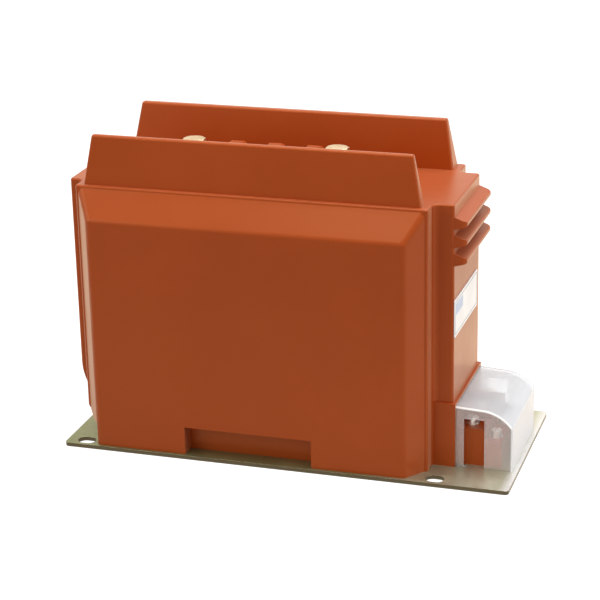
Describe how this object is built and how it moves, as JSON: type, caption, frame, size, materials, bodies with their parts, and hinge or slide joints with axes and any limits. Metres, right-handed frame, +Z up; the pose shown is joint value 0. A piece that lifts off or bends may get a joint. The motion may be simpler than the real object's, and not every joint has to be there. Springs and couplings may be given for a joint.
{
  "type": "cast resin current transformer",
  "caption": "Narrow cast resin current transformer on a slotted steel plate, with barrier walls beside its primary terminals and covered secondary terminals at one end.",
  "frame": {"origin": "centre of the base plate's underside, which is also the bottom centre of the whole part", "axes": "+X along the plate towards the covered secondary terminals, +Y across it, +Z up"},
  "size_m": [0.34, 0.149, 0.2375],
  "materials": {
    "resin": "semi-gloss cast epoxy resin, red-brown",
    "plate": "zinc-plated sheet steel with a faint yellow-green passivation",
    "cover": "frosted, milky see-through moulding",
    "nameplate": "bare satin plate",
    "zinc": "bright zinc-plated steel",
    "brass": "machined brass",
    "copper": "bare or enamelled copper",
    "core_steel": "dull strip-wound core steel"
  },
  "bodies": {
    "root": {"resin_body": "resin", "base_plate": "plate", "terminal_cover": "cover", "nameplate": "nameplate", "fixing_screws": "zinc", "secondary_flat_washers": "zinc", "secondary_spring_washers": "zinc", "secondary_screws": "zinc", "primary_flat_washers": "zinc", "primary_spring_washers": "zinc", "primary_bolts": "zinc", "earth_stud": "zinc", "earth_washer": "zinc", "earth_spring_washer": "zinc", "earth_nut": "zinc", "primary_terminal_p1": "brass", "primary_terminal_p2": "brass", "secondary_inserts": "brass", "fixing_inserts": "brass", "primary_conductor": "copper", "measuring_winding": "copper", "protection_winding": "copper", "measuring_leads": "copper", "protection_leads": "copper", "measuring_core": "core_steel", "protection_core": "core_steel"}
  },
  "joints": []
}
